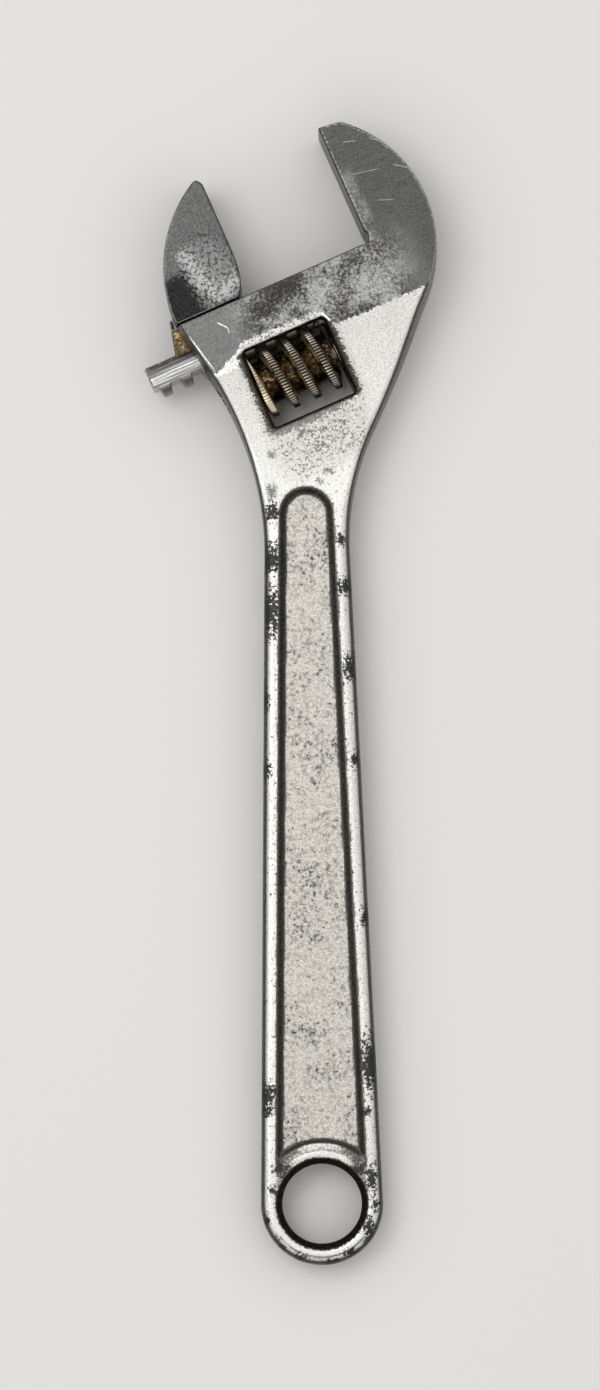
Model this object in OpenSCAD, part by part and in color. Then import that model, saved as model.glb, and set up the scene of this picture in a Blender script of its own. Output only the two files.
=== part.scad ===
// Adjustable wrench, 254 mm long overall, with its jaws standing 28.6 mm apart.
// The origin is the centre of the hanging hole, halfway through the thickness. The handle runs
// along +Y and Z is the thickness. The jaws and what is inside the head are laid out on a second
// pair of axes, u and v, which is X and Y turned by jaw_angle about the origin: +u points from the
// sliding jaw to the fixed one, and +v points along the jaw faces to their tips.

/* [Handle] */
// Radius of the round end, and so the handle's half width there
ring_r = 13.5; // [12.5:0.1:14.5]
// Radius of the hanging hole
hole_r = 8.8; // [7:0.1:9]
// Width of the bevel at each mouth of the hanging hole
hole_bevel = 1.5; // [0.5:0.1:1.6]
// Lean of each side of the handle towards the neck, in degrees
side_lean = 1.58; // [1.3:0.02:1.8]
// Half of the handle's thickness
handle_h = 4.8; // [4.2:0.1:5.4]
// Radius of the handle's long rounded edges
edge_r = 2.2; // [1:0.1:3]

/* [Panel] */
// Width of the raised rim beside the sunk panel
rim_w = 3.2; // [2.8:0.1:3.8]
// Width of the sloping wall between rim and panel
panel_wall = 1.7; // [1:0.1:2]
// Depth of the panel below the rim
panel_depth = 1.2; // [0.5:0.1:1.5]
// Height on the handle of the centre of the panel's round top
panel_y = 153; // [140:1:154]
// Radius of the raised boss round the hanging hole
boss_r = 12.2; // [11.5:0.1:12.8]

/* [Head] */
// Turn of the jaws from the handle, in degrees
jaw_angle = 22.5; // [22.5]
// Half of the head's thickness
head_h = 7.9; // [7.7:0.1:8.6]
// Height where the flat of the head ends and the neck starts to fall away
shoulder_v = 177; // [176:0.5:178]
// Height of the seat that the sliding jaw runs over
seat_v = 191.2; // [191:0.1:191.4]
// Place of the fixed jaw's face
face_u = 95.7; // [95.5:0.1:95.9]
// Height of the fixed jaw's tip
tip_v = 219.3; // [217:0.1:220]
// Radius of the fixed jaw's back
back_r = 29.2; // [29.2:0.1:30]

/* [Sliding jaw] */
// Gap between the jaws as modelled
jaw_gap = 28.6; // [27.8:0.1:28.6]
// Radius of the sliding jaw's back
slide_r = 31.1; // [30.8:0.1:31.4]
// Thickness of the web between the jaw and its rack bar
web_t = 4.6; // [4:0.1:5]
// Radius of the round rack bar
bar_r = 3.9; // [3.7:0.05:3.9]
// Number of rack teeth
teeth = 8; // [8]

/* [Worm] */
// Outer radius of the worm
worm_r = 7.7; // [7.5:0.05:7.75]
// Advance of the worm's thread in one turn, and the pitch of the rack
worm_lead = 5.08; // [5.08]
// Depth of the worm's thread
thread_depth = 2.6; // [2.4:0.1:2.8]
// Width of the thread's knurled crest
crest_w = 1.25; // [1:0.05:1.4]
// Radius of the plain shank of the worm's pin
pin_r = 2.2; // [2:0.05:2.4]

/* [Hidden] */
$fn = 128;
eps = 0.01;
big = 60;

// Handle and panel
rim_x = ring_r - rim_w;
floor_x = rim_x - panel_wall;
floor_z = handle_h - panel_depth;
lean_x = sin(side_lean);

// Neck: a hollow curve on each side that leaves the handle's side smoothly
neck_y = 144;
neck_left_r = 68.8;
neck_right_r = 59.2;
neck_x = ring_r / cos(side_lean) - neck_y * tan(side_lean);
neck_left_c = [-neck_x - neck_left_r * cos(side_lean), neck_y + neck_left_r * lean_x];
neck_right_c = [neck_x + neck_right_r * cos(side_lean), neck_y + neck_right_r * lean_x];
left_bulge = 1.0;
right_bulge = 1.8;
slope_v = 146;

// Fixed jaw: its back is an arc, and a flatter arc joins that to the neck
back_c = [82.6, 195.92];
back_c_xy = to_xy(back_c);
back_edge = 0.6;
join_r = 250;
join_low = [neck_right_c.x - sqrt(pow(neck_right_r, 2) - pow(172 - neck_right_c.y, 2)), 172];
join_high = [back_c_xy.x + sqrt(pow(back_r, 2) - pow(200 - back_c_xy.y, 2)), 200];
join_c = arc_centre(join_low, join_high, join_r);
tip_fall = 0.12;
left_top_u = 48.7;
left_low = [50.9, 178];
throat_r = 1.6;

// Window, and the channel that the rack bar and its web run in
window_u = [60, 79.6];
window_v = [161.8, 180];
window_corner = 0.8;
fit = 0.2;
bar_v = 182.3;
channel_end = 94;

// Sliding jaw and rack
jaw_face_u = face_u - jaw_gap;
jaw_foot_v = seat_v + 0.25;
slide_c = [80.07, 191.95];
jaw_heel = [[64.5, jaw_foot_v], [jaw_face_u - 0.8, 193.8], [jaw_face_u, 196.6]];
web_foot_u = 46;
web_head_u = 47.6;
web_end_u = 64.4;
bar_u = [38.6, 78.4];
bevel_low = [76.3, bar_v - bar_r];
bevel_high = [78.05, 180.8];
bar_chamfer = 0.5;
tooth_u = 41.43;
tooth_tip_w = 2.0;
tooth_root_w = 2.9;
tooth_root_v = 180.6;

// Worm, its pin and its spring, all on one axis along +u
worm_v = 172.3;
worm_u = [60.25, 78.5];
crest_u = 64.23;
root_r = worm_r - thread_depth;
flank = 16;
bore_fit = 0.06;
turn_steps = 30;
pin_u = [52.4, 88];
pin_thread_r = 3.1;
pin_thread_end = 59.9;
slot_w = 1;
slot_depth = 1.2;
pocket_end = 84;
pocket_r = 4.3;
wire_r = 0.4;
coil_r = 3.2;
coil_turns = 4;
coil_steps = 20;

function to_xy(p) = [
    p.x * cos(jaw_angle) - p.y * sin(jaw_angle),
    p.x * sin(jaw_angle) + p.y * cos(jaw_angle)
];

// Centre of the arc of radius r through a and b that bulges to the right of a to b
function arc_centre(a, b, r) =
    let (half = norm(b - a) / 2, along = (b - a) / (2 * half), out = [along.y, -along.x])
    (a + b) / 2 - out * sqrt(r * r - half * half);

// Radius of the arc that falls by drop over a length, starting flat
function slope_r(length, drop) = (length * length + drop * drop) / (2 * drop);

module on_jaw_axes() {
    rotate([0, 0, jaw_angle])
    children();
}

// Places a solid whose own X axis is the worm's axis
module on_worm_axis() {
    on_jaw_axes()
    translate([0, worm_v, 0])
    children();
}

// A cylinder along +u from u0 to u1 at height v
module u_cylinder(v, u0, u1, r) {
    translate([u0, v, 0])
    rotate([0, 90, 0])
    cylinder(h = u1 - u0, r = r);
}

// The same shape on both faces of the wrench
module both_faces() {
    children();
    mirror([0, 0, 1])
    children();
}

// Section of one side of the handle: a slab from x = inner to x = edge, where its corners are round
module side_section(inner, edge) {
    flat_x = edge - edge_r;
    flat_z = handle_h - edge_r;
    translate([inner, -handle_h])
    square([flat_x - inner, 2 * handle_h]);
    translate([inner, -flat_z])
    square([edge - inner, 2 * flat_z]);
    for (z = [-flat_z, flat_z])
        translate([flat_x, z])
        circle(edge_r);
}

// What lies inside both sides of the handle, where a side's section is drawn in x and z
module between_sides(length) {
    intersection() {
        rotate([90, 0, 180 - side_lean])
        linear_extrude(length)
        children();
        mirror([1, 0, 0])
        rotate([90, 0, 180 - side_lean])
        linear_extrude(length)
        children();
    }
}

module handle_bar() {
    intersection() {
        between_sides(neck_y + big)
        side_section(-big, ring_r);
        translate([-big, -big, -big])
        cube([2 * big, big + neck_y, 2 * big]);
    }
    rotate([0, 0, 180 - side_lean])
    rotate_extrude(angle = 180 + 2 * side_lean)
    side_section(0, ring_r);
}

// The sunk panel of one face, as the shape that is cut away
module panel_cut() {
    difference() {
        union() {
            between_sides(panel_y * cos(side_lean))
            polygon([
                [-big, floor_z],
                [floor_x, floor_z],
                [rim_x, handle_h],
                [rim_x + panel_wall, floor_z + 2 * panel_depth],
                [-big, floor_z + 2 * panel_depth]
            ]);
            translate([0, panel_y, floor_z])
            cylinder(
                h = 2 * panel_depth,
                r1 = floor_x - panel_y * lean_x,
                r2 = rim_x + panel_wall - panel_y * lean_x
            );
        }
        translate([0, 0, floor_z - eps])
        cylinder(h = panel_depth + 2 * eps, r1 = boss_r + panel_wall, r2 = boss_r);
        translate([0, 0, handle_h])
        cylinder(h = 2 * panel_depth, r = boss_r);
    }
}

module hanging_hole() {
    translate([0, 0, -big / 2])
    cylinder(h = big, r = hole_r);
    both_faces()
    translate([0, 0, handle_h - hole_bevel])
    cylinder(h = 2 * hole_bevel, r1 = hole_r, r2 = hole_r + 2 * hole_bevel);
}

// Ring-shaped cutter that leaves a side of the neck bulging by bulge at its middle
module neck_side_cut(centre, r, bulge) {
    bulge_r = (head_h * head_h + bulge * bulge) / (2 * bulge);
    translate(centre)
    rotate_extrude()
    difference() {
        translate([0, -head_h - 1])
        square([r + bulge, 2 * head_h + 2]);
        translate([r + bulge_r, 0])
        circle(bulge_r);
    }
}

// Plan of the neck and of the head's left end, before the two hollow sides are cut
module neck_plan() {
    intersection() {
        union() {
            translate([-big, neck_y])
            square([2 * big, join_low.y - neck_y]);
            intersection() {
                translate([-big, join_low.y - eps])
                square([2 * big, join_high.y - join_low.y + eps]);
                translate(join_c)
                circle(join_r, $fn = 720);
            }
        }
        rotate(jaw_angle)
        polygon([
            [0, 100],
            [130, 100],
            [130, seat_v],
            [left_top_u, seat_v],
            left_low,
            [0, left_low.y]
        ]);
    }
}

// Plan of the fixed jaw and of the head below it
module fixed_jaw_plan() {
    rotate(jaw_angle)
    intersection() {
        translate(back_c)
        circle(back_r);
        difference() {
            polygon([
                [0, 0],
                [130, 0],
                [130, tip_v - tip_fall * (130 - face_u)],
                [face_u, tip_v],
                [face_u, seat_v],
                [0, seat_v]
            ]);
            translate([face_u - 1.1, seat_v + throat_r - 0.1])
            circle(throat_r);
        }
    }
}

// Side view of the head and neck, v across and z up: flat to the shoulder, then a hollow slope
module face_section() {
    slope = slope_r(shoulder_v - slope_v, head_h - handle_h);
    difference() {
        translate([0, -head_h])
        square([2 * tip_v, 2 * head_h]);
        for (side = [0, 1])
            mirror([0, side])
            {
                translate([slope_v, handle_h + slope])
                circle(slope, $fn = 360);
                translate([0, handle_h])
                square([slope_v, big]);
            }
    }
}

module head() {
    intersection() {
        difference() {
            linear_extrude(2 * head_h, center = true)
            {
                neck_plan();
                fixed_jaw_plan();
            }
            neck_side_cut(neck_left_c, neck_left_r, left_bulge);
            neck_side_cut(neck_right_c, neck_right_r, right_bulge);
        }
        on_jaw_axes()
        rotate([90, 0, 90])
        linear_extrude(130)
        face_section();
    }
}

module window() {
    inner_u = window_u + [window_corner, -window_corner];
    inner_v = window_v + [window_corner, -window_corner];
    on_jaw_axes()
    linear_extrude(big, center = true)
    {
        translate([window_u[0], inner_v[0]])
        square([window_u[1] - window_u[0], inner_v[1] - inner_v[0]]);
        translate([inner_u[0], window_v[0]])
        square([inner_u[1] - inner_u[0], window_v[1] - window_v[0]]);
        for (u = inner_u, v = inner_v)
            translate([u, v])
            circle(window_corner);
    }
}

// Plan of all that the rack bar may sweep, out to its closed place, with room to spare
module bar_sweep_plan(spare) {
    polygon([
        [0, bar_v - big],
        bevel_low + [jaw_gap + spare - 1, -1.37],
        bevel_high + [jaw_gap + spare, 0],
        [bar_u[1] + jaw_gap + spare, bevel_high.y + 0.55],
        [bar_u[1] + jaw_gap + spare, bar_v + big],
        [0, bar_v + big]
    ]);
}

module rack_channel() {
    on_jaw_axes()
    {
        intersection() {
            u_cylinder(bar_v, 0, 130, bar_r + fit);
            linear_extrude(big, center = true)
            bar_sweep_plan(fit);
        }
        translate([0, bar_v, -web_t / 2 - fit])
        cube([channel_end, big, web_t + 2 * fit]);
    }
}

module pin_holes() {
    on_worm_axis()
    {
        u_cylinder(0, 0, window_u[0] + 1, pin_thread_r);
        u_cylinder(0, window_u[1] - 1, pocket_end, pocket_r);
        u_cylinder(0, window_u[1] - 1, pin_u[1] + 0.5, pin_r);
    }
}

module handle_body() {
    color("silver")
    difference() {
        union() {
            handle_bar();
            head();
        }
        hanging_hole();
        both_faces()
        panel_cut();
        window();
        rack_channel();
        pin_holes();
    }
}

module jaw_plate() {
    intersection() {
        translate(slide_c)
        rotate_extrude()
        polygon([
            [0, -head_h],
            [slide_r - back_edge, -head_h],
            [slide_r, back_edge - head_h],
            [slide_r, head_h - back_edge],
            [slide_r - back_edge, head_h],
            [0, head_h]
        ]);
        linear_extrude(big, center = true)
        polygon([
            [40, jaw_foot_v],
            jaw_heel[0],
            jaw_heel[1],
            jaw_heel[2],
            [jaw_face_u, tip_v - 0.8],
            [jaw_face_u - 1.5, tip_v + 0.4],
            [40, tip_v + 0.4]
        ]);
    }
}

module jaw_web() {
    linear_extrude(web_t, center = true)
    polygon([
        [web_foot_u, bar_v],
        [web_end_u, bar_v],
        [web_end_u, jaw_foot_v + 1],
        [web_head_u + 2, jaw_foot_v + 1],
        [web_head_u + 2, jaw_foot_v],
        [web_head_u, jaw_foot_v],
        [web_foot_u, 185]
    ]);
}

// The round bar, bevelled at its inner end so that it clears the back of the head when closed
module rack_bar() {
    intersection() {
        union() {
            u_cylinder(bar_v, bar_u[0] + bar_chamfer, bar_u[1], bar_r);
            translate([bar_u[0], bar_v, 0])
            rotate([0, 90, 0])
            cylinder(h = bar_chamfer, r1 = bar_r - bar_chamfer, r2 = bar_r);
        }
        linear_extrude(big, center = true)
        translate([-jaw_gap, 0])
        bar_sweep_plan(0);
    }
}

module tooth_gap() {
    gap_root = (worm_lead - tooth_root_w) / 2;
    gap_tip = (worm_lead - tooth_tip_w) / 2;
    tip_level = bar_v - bar_r;
    linear_extrude(big, center = true)
    polygon([
        [-gap_root, tooth_root_v],
        [gap_root, tooth_root_v],
        [gap_tip, tip_level],
        [gap_tip, tip_level - 1],
        [-gap_tip, tip_level - 1],
        [-gap_tip, tip_level]
    ]);
}

module sliding_jaw() {
    color("dimgray")
    on_jaw_axes()
    difference() {
        union() {
            jaw_plate();
            jaw_web();
            rack_bar();
        }
        for (k = [0 : teeth])
            translate([tooth_u + (k - 0.5) * worm_lead, 0, 0])
            tooth_gap();
    }
}

// A closed section, given as [along, radius] points, swept along a right-hand helix about +X.
// The angle is measured from +Y towards +Z.
module helix_sweep(section, x0, lead, start_turn, end_turn, steps) {
    sides = len(section);
    rings = ceil((end_turn - start_turn) * steps);
    points = [
        for (i = [0 : rings])
        let (turn = start_turn + (end_turn - start_turn) * i / rings, a = 360 * turn)
        for (p = section)
        [x0 + lead * turn + p[0], p[1] * cos(a), p[1] * sin(a)]
    ];
    walls = [
        for (i = [0 : rings - 1])
        for (j = [0 : sides - 1])
        let (k = (j + 1) % sides, a = i * sides + j, b = i * sides + k)
        each [[a, a + sides, b], [b, a + sides, b + sides]]
    ];
    first_cap = [for (j = [0 : sides - 1]) j];
    last_cap = [for (j = [0 : sides - 1]) rings * sides + sides - 1 - j];
    polyhedron(points, concat([first_cap], walls, [last_cap]), convexity = 10);
}

// The groove between the turns of the worm's thread
module thread_groove() {
    over = 0.4;
    root_w = worm_lead - crest_w - 2 * thread_depth * tan(flank);
    mouth_w = worm_lead - crest_w + 2 * over * tan(flank);
    top_r = worm_r + over;
    helix_sweep(
        [[-root_w / 2, root_r], [root_w / 2, root_r], [mouth_w / 2, top_r], [-mouth_w / 2, top_r]],
        crest_u + worm_lead / 2, worm_lead, -2.5, 4.5, turn_steps
    );
}

module worm_knurl() {
    color("sienna")
    on_worm_axis()
    difference() {
        u_cylinder(0, worm_u[0], worm_u[1], worm_r);
        thread_groove();
        u_cylinder(0, worm_u[0] - 1, worm_u[1] + 1, pin_r + bore_fit);
    }
}

module worm_pin() {
    color("darkgray")
    on_worm_axis()
    difference() {
        union() {
            u_cylinder(0, pin_u[0], pin_thread_end, pin_thread_r);
            u_cylinder(0, pin_thread_end - eps, pin_u[1], pin_r);
        }
        translate([pin_u[0] - 1, -slot_w / 2, -big / 2])
        cube([slot_depth + 1, slot_w, big]);
    }
}

module pin_spring() {
    coil_len = pocket_end - worm_u[1] - 2 * wire_r - 0.1;
    color("gray")
    on_worm_axis()
    helix_sweep(
        [for (i = [0 : 7]) [wire_r * cos(45 * i), coil_r - wire_r * sin(45 * i)]],
        worm_u[1] + wire_r + 0.05, coil_len / coil_turns, 0, coil_turns, coil_steps
    );
}

handle_body();
sliding_jaw();
worm_knurl();
worm_pin();
pin_spring();
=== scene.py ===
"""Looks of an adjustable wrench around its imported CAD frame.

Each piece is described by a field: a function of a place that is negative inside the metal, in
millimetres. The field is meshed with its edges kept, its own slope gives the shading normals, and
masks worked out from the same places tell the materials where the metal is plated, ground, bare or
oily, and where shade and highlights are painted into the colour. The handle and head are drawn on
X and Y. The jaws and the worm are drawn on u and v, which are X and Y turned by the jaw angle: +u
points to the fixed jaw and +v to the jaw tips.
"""

import math
from types import SimpleNamespace

import bmesh
import bpy
import numpy as np
from mathutils import Matrix


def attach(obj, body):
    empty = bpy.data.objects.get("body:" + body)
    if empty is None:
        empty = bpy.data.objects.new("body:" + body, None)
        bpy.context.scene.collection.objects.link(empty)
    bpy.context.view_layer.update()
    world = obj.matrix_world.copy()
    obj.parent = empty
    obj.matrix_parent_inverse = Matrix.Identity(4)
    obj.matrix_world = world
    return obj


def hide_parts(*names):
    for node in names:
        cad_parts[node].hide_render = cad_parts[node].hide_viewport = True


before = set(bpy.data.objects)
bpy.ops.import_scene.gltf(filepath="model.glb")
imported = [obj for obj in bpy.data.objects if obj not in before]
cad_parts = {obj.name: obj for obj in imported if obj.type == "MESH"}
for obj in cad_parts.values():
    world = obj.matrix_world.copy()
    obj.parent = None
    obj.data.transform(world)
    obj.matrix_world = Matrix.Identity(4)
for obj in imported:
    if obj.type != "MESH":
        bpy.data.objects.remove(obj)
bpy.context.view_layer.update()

MM = 0.001
JAW_ANGLE = math.radians(22.5)
COS_J = math.cos(JAW_ANGLE)
SIN_J = math.sin(JAW_ANGLE)

# Handle and sunk panel
RING_R = 13.5
HOLE_R = 8.8
HOLE_BEVEL = 1.5
HOLE_EDGE = 0.4
LEAN = math.radians(1.58)
COS_L = math.cos(LEAN)
SIN_L = math.sin(LEAN)
HANDLE_H = 4.8
HANDLE_EDGE = 2.2
RIM_X = 10.3
PANEL_WALL = 1.7
PANEL_DEPTH = 1.2
PANEL_Y = 153
BOSS_STEP = (11.5, 12.0)
BOSS_STEP_SHARE = 0.25
BOSS_WALL = (13.0, 14.6)

# Neck
NECK_Y = 144
NECK_EDGE = 0.9
NECK_X = RING_R / COS_L - NECK_Y * math.tan(LEAN)
NECK_LEFT_R = 68.8
NECK_RIGHT_R = 59.2
NECK_LEFT = (-NECK_X - NECK_LEFT_R * COS_L, NECK_Y + NECK_LEFT_R * SIN_L)
NECK_RIGHT = (NECK_X + NECK_RIGHT_R * COS_L, NECK_Y + NECK_RIGHT_R * SIN_L)
LEFT_BULGE = 1.0
RIGHT_BULGE = 1.8
BACK_BULGE = 0.2
BULGE_GROWS_Y = (140, 158)
BULGE_FADES_V = (166, 186)
NECK_SHARPENS_Y = (138, 164)

# Head
HEAD_H = 7.9
HEAD_EDGE = 0.35
HEAD_SHARPENS_V = (175.5, 178)
SHOULDER_V = 177
SLOPE_V = 146
SLOPE_RISE = HEAD_H - HANDLE_H
SLOPE_RUN = SHOULDER_V - SLOPE_V
SLOPE_R = (SLOPE_RUN**2 + SLOPE_RISE**2) / (2 * SLOPE_RISE)
SEAT_V = 191.2
FACE_U = 95.7
TIP_V = 219.3
TIP_FALL = 0.12
TIP_EDGE = 0.5
BACK_C = (82.6, 195.92)
BACK_R = 29.19
JOIN_R = 250
JOIN_Y = (172, 200)
JOIN_OVERLAP = 4
JOIN_BLEND = 0.5
END_TOP = (48.7, 191.2)
END_LOW = (50.9, 178)
THROAT_C = (94.6, 192.7)
THROAT_R = 1.6

# Window, channel and pin holes in the head
WINDOW_U = (60, 79.6)
WINDOW_V = (161.8, 180)
WINDOW_CORNER = 0.8
WINDOW_EDGE = 1.1
WINDOW_TOP_EDGE = 0.5
WINDOW_TOP_V = (178, 180.5)
BAR_V = 182.3
BORE_R = 4.1
BORE_EDGE = 0.25
SLOT_H = 2.5
SLOT_END = 94
CHANNEL_END = 107.2
CHANNEL_BEVEL = (106.85, 180.8)
BEVEL_DIR = (0.808, -0.589)
WORM_V = 172.3
PIN_HEAD_R = 3.1
PIN_R = 2.2
POCKET_R = 4.3
POCKET_END = 84
PIN_U = (52.4, 88)
PIN_HEAD_END = 59.9
PIN_HEAD_PLAY = 0.05
PIN_SLOT_W = 1
PIN_SLOT_DEPTH = 1.2

# Sliding jaw
JAW_FACE_U = 67.1
JAW_FOOT_V = 191.45
JAW_TOP_V = 219.7
JAW_BACK_C = (80.07, 191.95)
JAW_BACK_R = 31.1
JAW_EDGE = 0.4
JAW_NOSE = ((65.6, JAW_TOP_V), (JAW_FACE_U, 218.5))
JAW_HEEL = ((JAW_FACE_U, 196.6), (66.3, 193.8), (64.5, JAW_FOOT_V))
HEEL_EDGE = 1.5
WEB_H = 2.3
WEB_END = ((46, 185), (47.6, JAW_FOOT_V))
WEB_RIGHT_U = 64.4
WEB_OVERLAP = 2
WEB_EDGE = 0.3
BAR_R = 3.86
BAR_U = (38.65, 78.4)
BAR_BEVEL = (78.05, 180.8)
PITCH = 5.08
TOOTH_U = 41.43
TOOTH_ROOT_V = 180.6
GAP_ROOT = 1.09
GAP_LEAN = 0.2045
TOOTH_EDGE = 0.25

# Worm. THREAD is half of its profile: distance along from the middle of the crest, and radius
WORM_U = (60.25, 78.5)
WORM_BORE_R = 2.26
CREST_U = 64.23
THREAD = (
    (0, 7.7),
    (0.6, 7.7),
    (0.72, 7.62),
    (0.8, 7.45),
    (1.32, 5.45),
    (1.46, 5.2),
    (1.7, 5.1),
    (2.54, 5.1),
)
NOTCHES = 64
NOTCH_DEPTH = 0.25

# Spring on the worm's pin
SPRING_U = 79.35
SPRING_LENGTH = 3.75
SPRING_TURNS = 4
COIL_R = 3.2
WIRE_R = 0.4

# How firmly a mesh vertex is held to the middle of its cell where the surface is flat
MIDDLE_PULL = 0.08

# Floor and camera
FLOOR_HALF = 4000
END_REST_Y = -11
SHOULDER_REST_Y = 183.4
CAMERA_EYE = (4, 8, HEAD_H + 1400)
CAMERA_TARGET = (-2.3, 112.4, HEAD_H)
CAMERA_TURN = math.radians(1.3)
FRAME_HEIGHT = 307.8
SENSOR_SIZE = 36


def smooth(x, low, high):
    """0 below low, 1 above high, and an even S between them."""
    t = np.clip((x - low) / (high - low), 0, 1)
    return t * t * (3 - 2 * t)


def bump(x, low, high, soft):
    """1 between low and high, falling to 0 over soft outside them."""
    return smooth(x, low - soft, low) * (1 - smooth(x, high, high + soft))


def edge(a, b, r):
    """What lies inside both fields, with the edge between them rounded to radius r."""
    return np.minimum(-r, np.maximum(a, b)) + np.hypot(np.maximum(r + a, 0), np.maximum(r + b, 0))


def fillet(a, b, r):
    """What lies inside either field, with the inner corner between them filled to radius r."""
    return np.maximum(r, np.minimum(a, b)) - np.hypot(np.maximum(r - a, 0), np.maximum(r - b, 0))


def soft_join(a, b, width):
    """What lies inside either of two fields that cross at a slight angle."""
    near = np.maximum(width - np.abs(a - b), 0) / width
    return np.minimum(a, b) - near * near * width / 4


def side_of(x, y, start, end):
    """Distance to the left of the line from start to end."""
    dx = end[0] - start[0]
    dy = end[1] - start[1]
    length = math.hypot(dx, dy)
    return ((y - start[1]) * dx - (x - start[0]) * dy) / length


def to_jaw_axes(x, y):
    return x * COS_J + y * SIN_J, y * COS_J - x * SIN_J


def from_jaw_axes(u, v):
    return u * COS_J - v * SIN_J, u * SIN_J + v * COS_J


def join_arc():
    """Centre of the flat arc that joins the neck's right side to the back of the head."""
    low_y, high_y = JOIN_Y
    back_x, back_y = from_jaw_axes(*BACK_C)
    low_x = NECK_RIGHT[0] - math.sqrt(NECK_RIGHT_R**2 - (low_y - NECK_RIGHT[1]) ** 2)
    high_x = back_x + math.sqrt(BACK_R**2 - (high_y - back_y) ** 2)
    dx = high_x - low_x
    dy = high_y - low_y
    chord = math.hypot(dx, dy)
    reach = math.sqrt(JOIN_R**2 - chord**2 / 4) / chord
    centre = ((low_x + high_x) / 2 - reach * dy, (low_y + high_y) / 2 + reach * dx)
    return centre, (low_x, low_y)


JOIN_C, JOIN_LOW = join_arc()


def handle_side(x, y):
    """Distance outside the handle's leaning sides and its round end."""
    ax = np.abs(x)
    along = y * COS_L - ax * SIN_L
    return np.where(along > 0, ax * COS_L + y * SIN_L, np.hypot(x, y)) - RING_R


def neck_side(x, y, handle, centre, radius):
    """The handle's side, and past the place where they touch, the hollow arc of the neck."""
    dx = x - centre[0]
    dy = y - centre[1]
    past = dy * COS_L - np.sign(centre[0]) * dx * SIN_L > 0
    return np.where(past, radius - np.hypot(dx, dy), handle)


def head_outline(x, y, u, v):
    """Distance outside the plan at mid thickness, and how far that is drawn in at the faces."""
    handle = handle_side(x, y)
    left = neck_side(x, y, handle, NECK_LEFT, NECK_LEFT_R)
    left_end = np.minimum(-side_of(u, v, END_TOP, END_LOW), v - END_LOW[1])
    left = np.maximum(left, left_end)
    right = neck_side(x, y, handle, NECK_RIGHT, NECK_RIGHT_R)
    join = np.hypot(x - JOIN_C[0], y - JOIN_C[1]) - JOIN_R
    join = np.maximum(join, y - JOIN_Y[1] - JOIN_OVERLAP)
    back = np.hypot(u - BACK_C[0], v - BACK_C[1]) - BACK_R
    on_join = (y - JOIN_LOW[1]) + 0.5 * (x - JOIN_LOW[0]) > 0
    right = np.where(on_join, soft_join(join, back, JOIN_BLEND), right)
    right_bulge = RIGHT_BULGE + (BACK_BULGE - RIGHT_BULGE) * smooth(v, *BULGE_FADES_V)
    bulge = np.where(left > right, LEFT_BULGE, right_bulge) * smooth(y, *BULGE_GROWS_Y)
    return np.maximum(left, right), bulge


def inside_rim(x, y):
    """Distance in from the inner edge of the rim, towards the middle of the panel."""
    across = RIM_X - np.abs(x) * COS_L - y * SIN_L
    round_top = RIM_X - PANEL_Y * SIN_L - np.hypot(x, y - PANEL_Y)
    return np.where(y > PANEL_Y, round_top, across)


def panel_share(x, y):
    """How far a place is sunk into the panel: 0 on the rim and the boss, 1 on the floor."""
    from_hole = np.hypot(x, y)
    boss = BOSS_STEP_SHARE * smooth(from_hole, *BOSS_STEP)
    boss = boss + (1 - BOSS_STEP_SHARE) * smooth(from_hole, *BOSS_WALL)
    return smooth(inside_rim(x, y), 0, PANEL_WALL) * boss


def face_height(x, y, v):
    run = np.clip(v - SLOPE_V, 0, SLOPE_RUN)
    rise = SLOPE_R - np.sqrt(SLOPE_R**2 - run * run)
    return HANDLE_H + rise - PANEL_DEPTH * panel_share(x, y)


def hanging_hole(x, y, z):
    """Distance inside the hanging hole and the bevel at each of its mouths."""
    inside = HOLE_R - np.hypot(x, y)
    bevel = inside + np.abs(z) - (HANDLE_H - HOLE_BEVEL)
    return np.maximum(inside, bevel / math.sqrt(2))


def jaw_opening(u, v):
    """Distance inside the space between the jaws, with its round throat."""
    opening = np.minimum(FACE_U - u, v - SEAT_V)
    return np.maximum(opening, THROAT_R - np.hypot(u - THROAT_C[0], v - THROAT_C[1]))


def window_hole(u, v):
    """Distance outside the window, a rectangle with small round corners."""
    half_u = (WINDOW_U[1] - WINDOW_U[0]) / 2 - WINDOW_CORNER
    half_v = (WINDOW_V[1] - WINDOW_V[0]) / 2 - WINDOW_CORNER
    du = np.abs(u - sum(WINDOW_U) / 2) - half_u
    dv = np.abs(v - sum(WINDOW_V) / 2) - half_v
    outside = np.hypot(np.maximum(du, 0), np.maximum(dv, 0))
    return outside + np.minimum(np.maximum(du, dv), 0) - WINDOW_CORNER


def channel_hole(u, v, z):
    """Distance outside the bore for the rack bar and the slot for its web."""
    bevel = BEVEL_DIR[0] * (u - CHANNEL_BEVEL[0]) + BEVEL_DIR[1] * (v - CHANNEL_BEVEL[1])
    end = np.maximum(u - CHANNEL_END, bevel)
    bore = np.maximum(np.hypot(v - BAR_V, z) - BORE_R, end)
    slot = np.maximum(np.maximum(np.abs(z) - SLOT_H, BAR_V - v), u - SLOT_END)
    return np.minimum(bore, slot)


def pin_hole(u, v, z):
    off_axis = np.hypot(v - WORM_V, z)
    wide = np.where(u < sum(WINDOW_U) / 2, PIN_HEAD_R, POCKET_R)
    wide_end = np.where(u < sum(WINDOW_U) / 2, -1, u - POCKET_END)
    narrow = np.maximum(off_axis - PIN_R, u - PIN_U[1] - 0.5)
    return np.minimum(np.maximum(off_axis - wide, wide_end), narrow)


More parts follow.
